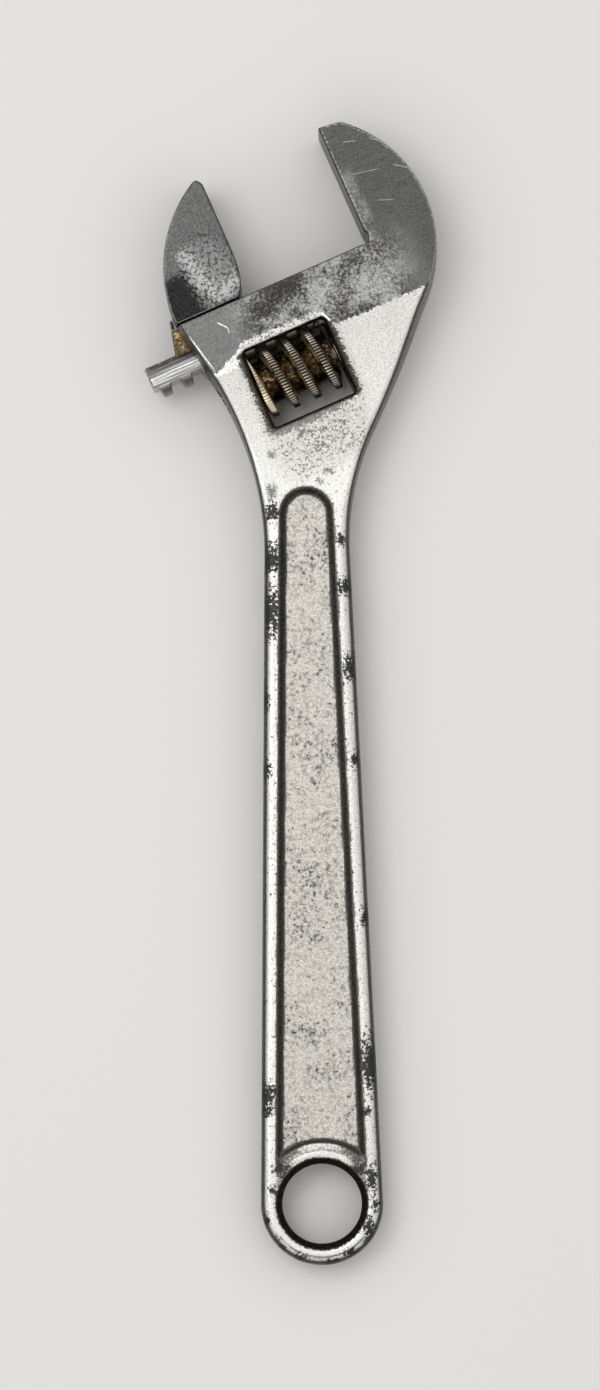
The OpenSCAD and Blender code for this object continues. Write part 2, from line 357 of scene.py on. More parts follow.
def body_field(x, y, z):
    u, v = to_jaw_axes(x, y)
    outline, bulge = head_outline(x, y, u, v)
    tip = (v - TIP_V + TIP_FALL * (u - FACE_U)) / math.hypot(1, TIP_FALL)
    outline = edge(outline, tip, TIP_EDGE)
    side = outline + bulge * (z / HEAD_H) ** 2
    radius = HANDLE_EDGE + (NECK_EDGE - HANDLE_EDGE) * smooth(y, *NECK_SHARPENS_Y)
    radius = radius + (HEAD_EDGE - radius) * smooth(v, *HEAD_SHARPENS_V)
    solid = edge(side, np.abs(z) - face_height(x, y, v), radius)
    solid = edge(solid, hanging_hole(x, y, z), HOLE_EDGE)
    solid = edge(solid, jaw_opening(u, v), HEAD_EDGE)
    window_edge = WINDOW_EDGE + (WINDOW_TOP_EDGE - WINDOW_EDGE) * smooth(v, *WINDOW_TOP_V)
    solid = edge(solid, -window_hole(u, v), window_edge)
    solid = edge(solid, -channel_hole(u, v, z), BORE_EDGE)
    return edge(solid, -pin_hole(u, v, z), BORE_EDGE)


def jaw_plate(u, v, z):
    plan = np.hypot(u - JAW_BACK_C[0], v - JAW_BACK_C[1]) - JAW_BACK_R
    plan = edge(plan, v - JAW_TOP_V, 0.6)
    front = edge(u - JAW_FACE_U, side_of(u, v, *JAW_NOSE), 0.8)
    heel = side_of(u, v, JAW_HEEL[1], JAW_HEEL[2])
    heel = edge(heel, side_of(u, v, JAW_HEEL[0], JAW_HEEL[1]), HEEL_EDGE)
    front = edge(front, heel, HEEL_EDGE)
    plan = edge(plan, front, 0.3)
    plan = edge(plan, JAW_FOOT_V - v, 0.25)
    return edge(plan, np.abs(z) - HEAD_H, JAW_EDGE)


def jaw_web(u, v, z):
    left = np.maximum(WEB_END[0][0] - u, side_of(u, v, *WEB_END))
    ends = np.maximum(BAR_V - v, v - JAW_FOOT_V - WEB_OVERLAP)
    plan = np.maximum(edge(left, u - WEB_RIGHT_U, WEB_EDGE), ends)
    return edge(plan, np.abs(z) - WEB_H, WEB_EDGE)


def rack_bar(u, v, z):
    bar = np.hypot(v - BAR_V, z) - BAR_R
    bevel = BEVEL_DIR[0] * (u - BAR_BEVEL[0]) + BEVEL_DIR[1] * (v - BAR_BEVEL[1])
    bar = edge(bar, np.maximum(u - BAR_U[1], bevel), 0.2)
    bar = edge(bar, BAR_U[0] - u, 0.5)
    phase = (u - TOOTH_U) / PITCH
    from_gap = np.abs(phase - np.floor(phase) - 0.5) * PITCH
    gap = from_gap - GAP_ROOT - GAP_LEAN * (TOOTH_ROOT_V - v)
    gap = np.maximum(gap, v - TOOTH_ROOT_V)
    return edge(bar, -gap, TOOTH_EDGE)


def jaw_field(u, v, z):
    return fillet(fillet(jaw_web(u, v, z), rack_bar(u, v, z), 0.3), jaw_plate(u, v, z), 0.15)


def pin_field(u, v, z):
    off_axis = np.hypot(v, z)
    head_ends = np.maximum(PIN_U[0] - u, u - PIN_HEAD_END)
    head = edge(off_axis - PIN_HEAD_R + PIN_HEAD_PLAY, head_ends, 0.35)
    shank = edge(off_axis - PIN_R, np.maximum(PIN_HEAD_END - 1 - u, u - PIN_U[1]), 0.3)
    slot = np.maximum(np.abs(v) - PIN_SLOT_W / 2, u - PIN_U[0] - PIN_SLOT_DEPTH)
    return edge(np.minimum(head, shank), -slot, 0.1)


def slope_at(field, points, step):
    """Gradient of a field at rows of points."""
    columns = []
    for axis in range(3):
        shift = np.zeros(3)
        shift[axis] = step
        ahead = field(*(points + shift).T)
        behind = field(*(points - shift).T)
        columns.append((ahead - behind) / (2 * step))
    return np.stack(columns, 1)


def unit(rows):
    return rows / np.maximum(np.linalg.norm(rows, axis=1), 1e-9)[:, None]


def grid_crossings(values, axes, axis):
    """Where grid edges along one axis cross the surface, and the ring of cells round each."""
    inside = np.moveaxis(values < 0, axis, 0)
    found = np.argwhere(inside[:-1] != inside[1:])
    index = np.empty_like(found)
    index[:, axis] = found[:, 0]
    others = [a for a in range(3) if a != axis]
    index[:, others[0]] = found[:, 1]
    index[:, others[1]] = found[:, 2]
    beyond = index.copy()
    beyond[:, axis] += 1
    low = values[tuple(index.T)]
    high = values[tuple(beyond.T)]
    points = np.stack([axes[a][index[:, a]] for a in range(3)], 1)
    points[:, axis] += (axes[axis][beyond[:, axis]] - points[:, axis]) * low / (low - high)
    second = (axis + 1) % 3
    third = (axis + 2) % 3
    cells = []
    for back_second, back_third in ((1, 1), (0, 1), (0, 0), (1, 0)):
        cell = index.copy()
        cell[:, second] -= back_second
        cell[:, third] -= back_third
        cells.append(cell)
    ring = np.stack(cells, 1)
    ring[low > 0] = ring[low > 0][:, ::-1]
    return points, ring


def best_points(points, normals, cell, count, reach):
    """The point of each cell that lies closest to the planes of all its crossings."""

    def total(weights):
        return np.bincount(cell, weights, count)

    number = total(np.ones(len(cell)))
    middle = np.stack([total(points[:, a]) / number for a in range(3)], 1)
    away = np.sum(normals * (points - middle[cell]), 1)
    matrix = np.empty((count, 3, 3))
    target = np.empty((count, 3))
    for a in range(3):
        target[:, a] = total(normals[:, a] * away)
        for b in range(3):
            matrix[:, a, b] = total(normals[:, a] * normals[:, b])
    matrix += np.eye(3) * MIDDLE_PULL
    moved = np.linalg.solve(matrix, target[:, :, None])[:, :, 0]
    length = np.linalg.norm(moved, axis=1)
    return middle + moved * np.minimum(1, reach / np.maximum(length, 1e-9))[:, None]


def mesh_field(field, xs, ys, zs):
    """Vertices, quads and normals of a field's surface, with its edges kept."""
    axes = (xs, ys, zs)
    values = field(xs[:, None, None], ys[None, :, None], zs[None, None, :])
    found = [grid_crossings(values, axes, axis) for axis in range(3)]
    points = np.concatenate([places for places, cells in found])
    rings = np.concatenate([cells for places, cells in found])
    shape = tuple(len(a) - 1 for a in axes)
    ids = np.ravel_multi_index(tuple(np.moveaxis(rings, 2, 0)), shape)
    kept, quads = np.unique(ids, return_inverse=True)
    quads = quads.reshape(ids.shape)
    normals = unit(slope_at(field, points, 0.01))
    reach = 0.7 * float(np.min([np.min(np.diff(a)) for a in axes]))
    places = np.repeat(points, 4, 0)
    slopes = np.repeat(normals, 4, 0)
    vertices = best_points(places, slopes, quads.ravel(), len(kept), reach)
    # Each round moves the vertices down the field's slope and closer to the surface.
    for _ in range(3):
        slope = slope_at(field, vertices, 0.01)
        fall = field(*vertices.T) / np.maximum(np.sum(slope * slope, 1), 0.2)
        vertices = vertices - slope * np.clip(fall, -0.3, 0.3)[:, None]
    return vertices, quads.tolist(), unit(slope_at(field, vertices, 0.03))


def steps(*stops):
    """Grid places from (start, step), (next start, step), ... to the last stop."""
    parts = []
    for (start, step), (end, _) in zip(stops[:-1], stops[1:]):
        count = max(1, round((end - start) / step))
        parts.append(np.linspace(start, end, count, endpoint=False))
    parts.append([stops[-1][0]])
    return np.concatenate(parts)


def add_mesh(name, vertices, faces, material):
    """A smooth object from rows of vertices in millimetres and a list of faces."""
    mesh = bpy.data.meshes.new(name)
    mesh.from_pydata((vertices * MM).tolist(), [], faces)
    mesh.polygons.foreach_set("use_smooth", np.ones(len(mesh.polygons), bool))
    mesh.update()
    mesh.materials.append(material)
    piece = bpy.data.objects.new(name, mesh)
    bpy.context.scene.collection.objects.link(piece)
    return piece


def tube_faces(rings, sides):
    """Quads between rings of points, each ring closed on itself."""
    index = np.arange(rings * sides).reshape(rings, sides)
    around = np.roll(index, -1, 1)
    return np.stack([index[:-1], index[1:], around[1:], around[:-1]], 2).reshape(-1, 4).tolist()


def add_masks(piece, masks):
    for name, values in masks.items():
        attribute = piece.data.attributes.new(name, "FLOAT", "POINT")
        attribute.data.foreach_set("value", np.ascontiguousarray(values, dtype=np.float32))


def set_normals(piece, normals):
    piece.data.normals_split_custom_set_from_vertices(normals.tolist())


def turn_to_frame(rows):
    """Rows of (u, v, z) as rows of (X, Y, Z)."""
    x, y = from_jaw_axes(rows[:, 0], rows[:, 1])
    return np.stack([x, y, rows[:, 2]], 1)


# Bare, dark places where the plating is gone: middle x, middle y, half width, half height
BARE_PLACES = (
    (-7.6, 153.6, 2.2, 2.4),
    (-8.2, 143.0, 3.4, 4.2),
    (-8.6, 131.0, 3.2, 6.5),
    (-10.2, 112, 1.2, 4.0),
    (-10.8, 96, 2.2, 2.4),
    (-11.4, 24.2, 2.4, 3.2),
    (-11.8, 20.6, 1.8, 1.4),
    (8.2, 136.6, 2.4, 2.2),
    (7.6, 147, 1.2, 1.8),
    (8.9, 118.5, 1.9, 3.4),
    (9.6, 98, 1.2, 2.0),
    (11.0, 63, 1.3, 2.6),
    (11.4, 30.5, 3.2, 6.5),
    (10.0, 20, 1.6, 1.3),
    (11.1, 5.2, 1.5, 4.0),
    (10.4, -5.6, 1.6, 3.2),
    (6.4, -10.8, 2.0, 1.2),
    (2.2, -12.8, 2.6, 0.9),
    (-5, -11.8, 1.5, 1.3),
    (-9.4, -9.8, 1.2, 1.3),
    (-8.8, 7.6, 2.0, 1.8),
    (8.6, 7.4, 1.8, 1.8),
    (-10.8, 3.2, 1.0, 1.4),
    (11.8, -0.6, 0.9, 1.6),
    (-12.2, -3.4, 0.8, 1.6),
)
# Grimy spots on the neck, given in the same way
GRIME_PLACES = (
    (3.0, 167.8, 1.7, 2.2),
    (-0.5, 171, 2.4, 1.8),
    (-7.0, 166.4, 1.8, 1.3),
    (5.1, 162.4, 2.0, 1.1),
    (3.3, 160.2, 1.6, 1.2),
    (-0.6, 158.2, 4.0, 1.5),
    (-7.6, 158, 2.0, 3.0),
)
# Middle of the brightest rubbed streak on the sliding jaw, as places (u, v)
BRIGHT_PATH = ((56.8, 204.5), (58, 198), (60.5, 193.6), (65, 195.4))
# Bright scratches, and in the first two rows painted highlights on two edges of the head: two
# places (u, v), half width, strength
SCRATCHES_AND_GLINTS = (
    ((50.4, 188.5), (52.9, 177.9), 0.22, 0.7),
    ((79.5, 181.2), (80.9, 178.2), 0.3, 1.0),
    ((57.4, 188.3), (59.3, 186.1), 0.2, 0.9),
    ((59.3, 186.4), (59.0, 184.8), 0.14, 0.6),
    ((105, 212.5), (109.4, 209.4), 0.12, 0.38),
    ((107.5, 205), (111.3, 202.2), 0.14, 0.36),
    ((99.2, 214), (102.5, 213), 0.12, 0.32),
    ((98, 206.5), (104.8, 205.2), 0.1, 0.32),
    ((101, 199), (105, 197.4), 0.1, 0.32),
)
# The ground face starts above this line, as places (u, v)
GROUND_U = (50, 53, 59.3, 60.3, 79.2, 80.9, 82, 115)
GROUND_V = (177.7, 177.7, 180.8, 181.8, 181.6, 178, 177, 177)


def spots(x, y, z, places):
    """For each spot of a table: 1 at its middle, 0 on its outline. The back has them mirrored."""
    across = x * np.sign(z)
    return [1 - np.hypot((across - cx) / rx, (y - cy) / ry) for cx, cy, rx, ry in places]


def wall_shade_mask(x, y, rim):
    """Painted shade on the walls of the panel, and bands of painted shade on the boss round the
    hanging hole.
    """
    from_hole = np.hypot(x, y)
    off_middle = np.abs(x)
    side_wall = bump(rim, 0.05, PANEL_WALL - 0.1, 0.3) * smooth(from_hole, 11.6, 13)
    first_band = 0.65 * smooth(off_middle, 4.5, 7.5) * bump(from_hole, 10, 12.1, 0.4)
    second_band = (0.3 + 0.5 * smooth(off_middle, 3, 6.5)) * bump(from_hole, 12.3, 14.6, 0.4)
    groove = 0.6 * bump(from_hole, 12, 12.1, 0.3)
    foot = 0.95 * bump(from_hole, 13.6, 14.3, 0.5)
    boss = np.maximum(np.maximum(first_band, second_band), np.maximum(groove, foot))
    return np.maximum(side_wall, boss * smooth(rim, 0, 0.5) * (y > 0))


def bare_mask(x, y, z, rim):
    """Above 0 where the plating is gone, and just below it along the rims."""
    on_rim = (1 - smooth(rim, 0, 0.4)) * (1 - smooth(y, 158, 162))
    bare = -3 + (2.47 + 0.14 * bump(rim, -0.5, 0, 0.6)) * on_rim
    for spot in spots(x, y, z, BARE_PLACES):
        bare = np.maximum(bare, spot - 0.1)
    return np.clip(bare, -3, 1)


def grime_mask(x, y, z, u, v):
    """Grime round the window, densest below its left part, and thinner down the neck."""
    near_window = 1 - smooth(window_hole(u, v), 0.8, 4.2)
    below = (1 - smooth(v, 161, 164)) * bump(u, 58, 74, 5)
    grime = near_window * (0.45 + 0.65 * below)
    above = 0.5 * bump(u, 61, 79, 1.5) * bump(v, 180.2, 182, 0.4)
    down_neck = 0.51 * bump(v, 152, 160, 7) * bump(u, 62, 76, 8)
    grime = np.maximum(grime, np.maximum(above, down_neck))
    for spot in spots(x, y, z, GRIME_PLACES):
        grime = np.maximum(grime, 0.85 * smooth(spot, -0.2, 0.9))
    return grime


def head_masks(u, v):
    """Where the ground head is mottled, and where its tone is pale."""
    mottle = bump(u, 68, 95, 11) * (1 - smooth(v, 189, 195))
    by_face = 0.5 * bump(u, 95.7, 97.5, 2) * bump(v, 194, 205, 4)
    pale = 1 - smooth(u, 60, 74)
    pale_by_face = 0.9 * bump(u, 95.7, 97, 2.5) * bump(v, 192, 204, 6)
    pale_below = 0.6 * bump(u, 84, 102, 6) * (1 - smooth(v, 188, 196))
    return {
        "mottle": np.maximum(mottle, by_face),
        "tone": np.maximum(pale, np.maximum(pale_by_face, pale_below)),
        "ground": np.clip(v - np.interp(u, GROUND_U, GROUND_V), -9, 9),
        # rub: where the rounded, worn edge of the ground head gets a painted highlight
        "rub_and_highlight": smooth(-jaw_opening(u, v), 0.3, 0.9) * smooth(u, 55, 60),
        "shade": bump(u, 64, 75, 6) * (1 - 0.7 * bump(v, 180, 184, 3)),
    }


def hole_shade_masks(x, y, u, v, z, facing):
    """Painted shade at the mouths of the hanging hole and the window, inside the bores, and on the
    fixed jaw's face.
    """
    window = window_hole(u, v)
    beside = 1 - bump(u, WINDOW_U[0], WINDOW_U[1], 0.5)
    round_window = 1 - smooth(window * (1 - 0.4 * beside), 0.2, 1.6)
    round_window = round_window * (1 - smooth(v, 179.2, 180.4))
    near = np.minimum(np.minimum(window, channel_hole(u, v, z)), pin_hole(u, v, z))
    on_face = 1 - smooth(-jaw_opening(u, v), 0.05, 0.3)
    return {
        # ring: painted shade on the rounded mouths of the hanging hole and the window
        "ring": np.maximum(1 - smooth(np.hypot(x, y), 9.8, 10.8), round_window),
        # inner: painted shade on the walls inside the window, the channel and the pin's bore
        "inner": (1 - smooth(near, 0.02, 0.5)) * (1 - smooth(facing, 0.5, 0.9)),
        # jaw_face: painted shade on the fixed jaw's inner face
        "jaw_face": on_face * (1 - smooth(facing, 0.5, 0.8)),
    }


def body_masks(vertices, normals):
    x, y, z = vertices.T
    u, v = to_jaw_axes(x, y)
    facing = np.abs(normals[:, 2])
    rim = inside_rim(x, y)
    return {
        "panel": panel_share(x, y),
        # wall: painted shade on the panel walls and on the boss round the hanging hole
        "wall": wall_shade_mask(x, y, rim) * smooth(facing, 0.3, 0.6),
        "steep": 1 - facing,
        "bare": bare_mask(x, y, z, rim),
        "grime": grime_mask(x, y, z, u, v),
        **head_masks(u, v),
        **hole_shade_masks(x, y, u, v, z, facing),
    }


def make_body(material):
    xs = steps((-28.4, 0.46), (24, 0.28), (31.5, 0))
    ys = steps((-14.2, 0.42), (20, 1.0), (140, 0.47), (199, 0.3), (208, 0.47), (241.6, 0))
    zs = steps((-8.4, 0.46), (8.4, 0))
    vertices, quads, normals = mesh_field(body_field, xs, ys, zs)
    piece = add_mesh("wrench_body", vertices, quads, material)
    add_masks(piece, body_masks(vertices, normals))
    set_normals(piece, normals)
    return piece


def path_distance(u, v, places):
    """Distance from a line drawn through places (u, v)."""
    nearest = np.full(u.shape, np.inf)
    for start, end in zip(places[:-1], places[1:]):
        du = end[0] - start[0]
        dv = end[1] - start[1]
        along = (u - start[0]) * du + (v - start[1]) * dv
        share = np.clip(along / (du * du + dv * dv), 0, 1)
        away = np.hypot(u - start[0] - share * du, v - start[1] - share * dv)
        nearest = np.minimum(nearest, away)
    return nearest


def make_jaw(material):
    us = steps((38.1, 0.28), (79, 0))
    vs = steps((178, 0.28), (220.2, 0))
    zs = steps((-8.3, 0.3), (8.3, 0))
    rows, quads, normals = mesh_field(jaw_field, us, vs, zs)
    u = rows[:, 0]
    v = rows[:, 1]
    piece = add_mesh("jaw_body", turn_to_frame(rows), quads, material)
    on_plate = smooth(v, JAW_FOOT_V - 0.4, JAW_FOOT_V)
    add_masks(piece, {
        "along": u,
        "up": v,
        "plate": on_plate,
        "steep": 1 - np.abs(normals[:, 2]),
        "patch": 1 - np.hypot((u - 61.5) / 6.0, (v - 199.5) / 9.5),
        "bright": 1 - path_distance(u, v, BRIGHT_PATH) / 2.6,
        "smudge": np.minimum(202 - v, 57 - u - 0.1 * (v - 191)) / 2.5,
        "grease": (1 - on_plate) * smooth(v, BAR_V + 2.2, BAR_V + 3.2),
    })
    set_normals(piece, turn_to_frame(normals))
    return piece


def cut_to_length(along, radius, low, high):
    """Profiles, one a row, with what lies past their ends flattened onto them."""
    cut = radius.copy()
    for row, places, heights in zip(cut, along, radius):
        row[places < low] = np.interp(low, places, heights)
        row[places > high] = np.interp(high, places, heights)
    return np.clip(along, low, high), cut


def make_worm(material):
    """The worm as its thread profile, repeated along its axis and turned round it."""
    period = [(-a, r) for a, r in THREAD[:0:-1]] + list(THREAD[:-1])
    turns = range(-3, 5)
    profile = np.array([(CREST_U + k * PITCH + a, r) for k in turns for a, r in period])
    rings = 4 * NOTCHES + 1
    angle = np.linspace(0, 2 * math.pi, rings)[:, None]
    along = profile[None, :, 0] + PITCH * angle / (2 * math.pi)
    notch = 0.5 + 0.5 * np.cos(NOTCHES * angle)
    height = profile[None, :, 1]
    radius = height - NOTCH_DEPTH * notch * smooth(height, 7.2, 7.6)
    low, high = WORM_U
    along, radius = cut_to_length(along, radius, low, high)
    bore = np.full((rings, 1), WORM_BORE_R)
    along = np.concatenate([np.full_like(bore, low), along, np.full_like(bore, high)], 1)
    radius = np.concatenate([bore, radius, bore], 1)
    rows = np.stack([along, WORM_V + radius * np.cos(angle), radius * np.sin(angle)], 2)
    sides = along.shape[1]
    faces = tube_faces(rings, sides)
    piece = add_mesh("worm_body", turn_to_frame(rows.reshape(-1, 3)), faces, material)
    add_masks(piece, {
        "radius": radius.ravel(),
        "along": along.ravel(),
        "notch": np.repeat(notch, sides),
    })
    merge_doubles(piece, 0.002)
    return piece


def merge_doubles(piece, distance):
    """Joins vertices that lie together and drops the faces that this empties."""
    work = bmesh.new()
    work.from_mesh(piece.data)
    bmesh.ops.remove_doubles(work, verts=work.verts, dist=distance * MM)
    bmesh.ops.recalc_face_normals(work, faces=work.faces)
    work.to_mesh(piece.data)
    work.free()
    piece.data.set_sharp_from_angle(angle=math.radians(50))


def make_pin(material):
    us = steps((PIN_U[0] - 0.3, 0.2), (PIN_U[0] + 2, 0.4), (PIN_U[1] + 0.4, 0))
    across = steps((-3.5, 0.22), (3.5, 0))
    rows, quads, normals = mesh_field(pin_field, us, across, across)
    rows[:, 1] += WORM_V
    piece = add_mesh("pin_body", turn_to_frame(rows), quads, material)
    add_masks(piece, {"along": rows[:, 0]})
    set_normals(piece, turn_to_frame(normals))
    return piece


def make_spring(material):
    """A coil of round wire, with its end turns closed up and its ends capped."""
    rings = SPRING_TURNS * 48 + 1
    sides = 12
    share = np.linspace(0, 1, rings)
    angle = 2 * math.pi * SPRING_TURNS * share
    along = SPRING_U + SPRING_LENGTH * smooth(share, -0.1, 1.1)
    around = 2 * math.pi * np.arange(sides) / sides
    radius = COIL_R + WIRE_R * np.cos(around)[None, :]
    u = along[:, None] + WIRE_R * np.sin(around)[None, :]
    v = WORM_V + radius * np.cos(angle)[:, None]
    z = radius * np.sin(angle)[:, None]
    wall = np.stack([u, v, z], 2).reshape(-1, 3)
    middle = np.stack([along, WORM_V + COIL_R * np.cos(angle), COIL_R * np.sin(angle)], 1)
    rows = np.concatenate([wall, middle[[0, -1]]])
    faces = tube_faces(rings, sides)
    last = (rings - 1) * sides
    for side in range(sides):
        after = (side + 1) % sides
        faces.append([rings * sides, after, side])
        faces.append([rings * sides + 1, last + side, last + after])
    return add_mesh("spring_coil", turn_to_frame(rows), faces, material)


class Surface:
    """A material's node tree, written as sums on its sockets."""

    def __init__(self, name):
        self.material = bpy.data.materials.new(name)
        self.material.use_nodes = True
        self.tree = self.material.node_tree
        self.shader = self.tree.nodes["Principled BSDF"]
        self.place = self.add("ShaderNodeTexCoord").outputs["Object"]
        turn = self.add("ShaderNodeMapping")
        turn.inputs["Rotation"].default_value[2] = -JAW_ANGLE
        self.link(self.place, turn.inputs["Vector"])
        self.turned = turn.outputs["Vector"]

    def add(self, kind, **settings):
        node = self.tree.nodes.new(kind)
        for name, value in settings.items():
            setattr(node, name, value)
        return node

    def link(self, value, socket):
        if isinstance(value, bpy.types.NodeSocket):
            self.tree.links.new(value, socket)
        else:
            socket.default_value = value

    def mask(self, name):
        return self.add("ShaderNodeAttribute", attribute_name=name).outputs["Fac"]

    def math(self, operation, a, b=0.0):
        node = self.add("ShaderNodeMath", operation=operation)
        self.link(a, node.inputs[0])
        self.link(b, node.inputs[1])
        return node.outputs[0]

    def total(self, first, *others):
        for other in others:
            first = self.math("ADD", first, other)
        return first

    def product(self, first, *others):
        for other in others:
            first = self.math("MULTIPLY", first, other)
        return first

    def ramp(self, value, low, high, start=0.0, end=1.0):
        """An even S from start, where the value is low, to end, where it is high."""
        node = self.add("ShaderNodeMapRange", interpolation_type="SMOOTHSTEP")
        self.link(value, node.inputs["Value"])
        node.inputs["From Min"].default_value = low
        node.inputs["From Max"].default_value = high
        node.inputs["To Min"].default_value = start
        node.inputs["To Max"].default_value = end
        return node.outputs["Result"]

    def noise(self, size, detail=2.0, roughness=0.5, stretch=(1, 1, 1), turned=False):
        """Noise whose grain is about size millimetres, longer along an axis by its stretch."""
        scale = self.add("ShaderNodeVectorMath", operation="DIVIDE")
        self.link(self.turned if turned else self.place, scale.inputs[0])
        scale.inputs[1].default_value = [size * s * MM for s in stretch]
        node = self.add("ShaderNodeTexNoise")
        self.link(scale.outputs[0], node.inputs["Vector"])
        node.inputs["Scale"].default_value = 1.0
        node.inputs["Detail"].default_value = detail
        node.inputs["Roughness"].default_value = roughness
        return node.outputs["Fac"]

    def offset(self, start, end, direction):
        """Distance along a direction from the middle of two places (u, v), in millimetres."""
        dot = self.add("ShaderNodeVectorMath", operation="DOT_PRODUCT")
        self.link(self.turned, dot.inputs[0])
        dot.inputs[1].default_value = (direction[0] / MM, direction[1] / MM, 0)
        middle_u = (start[0] + end[0]) / 2
        middle_v = (start[1] + end[1]) / 2
        middle = direction[0] * middle_u + direction[1] * middle_v
        return self.math("ABSOLUTE", self.math("SUBTRACT", dot.outputs["Value"], middle))

    def scratch(self, start, end, width):
        """1 on a thin line between two places (u, v), fading towards its ends."""
        length = math.dist(start, end)
        run = ((end[0] - start[0]) / length, (end[1] - start[1]) / length)
        along = self.offset(start, end, run)
        across = self.offset(start, end, (-run[1], run[0]))
        in_length = self.ramp(along, 0.3 * length, 0.5 * length, 1, 0)
        return self.product(in_length, self.ramp(across, 0.3 * width, width, 1, 0))

    def mix(self, share, a, b):
        node = self.add("ShaderNodeMix", data_type="RGBA")
        self.link(share, node.inputs[0])
        self.link(a, node.inputs[6])
        self.link(b, node.inputs[7])
        return node.outputs[2]

    def blend(self, share, a, b):
        node = self.add("ShaderNodeMix", data_type="FLOAT")
        self.link(share, node.inputs[0])
        self.link(a, node.inputs[2])
        self.link(b, node.inputs[3])
        return node.outputs[0]

    def finish(self, colour, roughness, height, depth):
        """Bare metal with this colour, roughness and fine relief, depth millimetres deep."""
        node = self.add("ShaderNodeBump")
        node.inputs["Strength"].default_value = 1.0
        node.inputs["Distance"].default_value = depth * MM
        self.link(height, node.inputs["Height"])
        self.link(node.outputs["Normal"], self.shader.inputs["Normal"])
        self.link(colour, self.shader.inputs["Base Color"])
        self.link(roughness, self.shader.inputs["Roughness"])
        self.shader.inputs["Metallic"].default_value = 1.0
        return self.material


def grey(level, warm=0.0):
    """A grey colour, a little yellower with warm."""
    return (level * (1 + 0.6 * warm), level, level * (1 - 1.4 * warm), 1)


def body_noises(s):
    return SimpleNamespace(
        speck=s.noise(0.55, 3, 0.6),
        fine=s.noise(0.3, 2, 0.6),
        blotch=s.noise(6.0, 3, 0.55),
        streak=s.noise(0.22, 2, 0.6, (30, 1, 1), True),
        pits=s.noise(0.8, 4, 0.65),
        dots=s.noise(0.42, 4, 0.7),
        coarse=s.noise(0.62, 5, 0.8),
    )


def satin_tone(s, n):
    """Satin plating with sparse pits, and grime where its mask says."""
    satin = s.mix(s.ramp(n.fine, 0.3, 0.7), grey(0.57, 0.03), grey(0.88, 0.015))
    satin = s.mix(s.ramp(n.blotch, 0.3, 0.7, 0.12, 0.0), satin, grey(0.4))
    sparse = s.product(s.ramp(n.pits, 0.6, 0.68), s.ramp(n.blotch, 0.42, 0.6), 0.6)
    satin = s.mix(sparse, satin, grey(0.2, 0.06))
    dirty = s.total(
        s.mask("grime"),
        s.ramp(n.dots, 0.35, 0.65, 0.0, 0.6),
        s.ramp(n.pits, 0.35, 0.65, 0.0, 0.5),
        s.ramp(n.blotch, 0.3, 0.7, -0.12, 0.12),
    )
    satin = s.mix(s.ramp(dirty, 1.0, 1.35, 0.0, 0.9), satin, grey(0.07, 0.08))
    return s.mix(s.ramp(s.mask("grime"), 0.0, 0.4, 0.0, 0.25), satin, grey(0.4, 0.05))


def panel_tone(s, n):
    """The rough floor of the sunk panel, with its dark pits."""
    grain = s.noise(0.5, 3, 0.65)
    pitted = s.total(n.pits, s.ramp(n.blotch, 0.3, 0.7, -0.06, 0.06))
    panel = s.mix(s.ramp(grain, 0.35, 0.65), grey(0.42, 0.06), grey(0.64, 0.05))
    panel = s.mix(s.ramp(pitted, 0.48, 0.66, 0.0, 0.7), panel, grey(0.24, 0.07))
    return s.mix(s.ramp(pitted, 0.62, 0.7), panel, grey(0.06, 0.08))


def ground_tone(s, n):
    """The ground head: fine streaks from side to side, mottled over its middle."""
    pale = s.mix(s.ramp(n.streak, 0.3, 0.7), grey(0.13), grey(0.21))
    deep = s.mix(s.ramp(n.streak, 0.3, 0.7), grey(0.052), grey(0.1))
    tone = s.mix(s.mask("tone"), deep, pale)
    tone = s.mix(s.ramp(n.dots, 0.35, 0.7, 0.0, 0.5), tone, grey(0.05))
    tone = s.mix(s.ramp(n.fine, 0.3, 0.7, 0.0, 0.12), tone, grey(0.5))
    blotted = s.total(
        n.coarse,
        s.ramp(n.blotch, 0.3, 0.7, -0.1, 0.1),
        s.product(s.mask("shade"), 0.09),
    )
    mottling = s.mix(s.ramp(blotted, 0.36, 0.64), grey(0.4), grey(0.035, 0.05))
    return s.mix(s.product(s.mask("mottle"), s.ramp(n.speck, 0.25, 0.5)), tone, mottling)


def add_wall_shade(s, n, colour):
    """Painted shade on the steep sides and the panel walls, over a colour."""
    steep = s.mask("steep")
    # Painted shade: dark colour laid on the panel walls, the boss bands and every steep side
    wall = s.mix(s.ramp(n.speck, 0.35, 0.7), grey(0.025, 0.12), grey(0.11, 0.08))
    side = s.mix(s.ramp(n.pits, 0.35, 0.65), grey(0.17, 0.04), grey(0.05, 0.1))
    wall = s.mix(s.ramp(steep, 0.6, 0.9), wall, side)
    ragged = s.total(s.mask("wall"), s.ramp(n.speck, 0.3, 0.7, -0.24, 0.24))
    share = s.math("MAXIMUM", s.ramp(steep, 0.14, 0.3), s.ramp(ragged, 0.1, 0.9))
    return s.mix(s.product(share, 0.95), colour, wall)


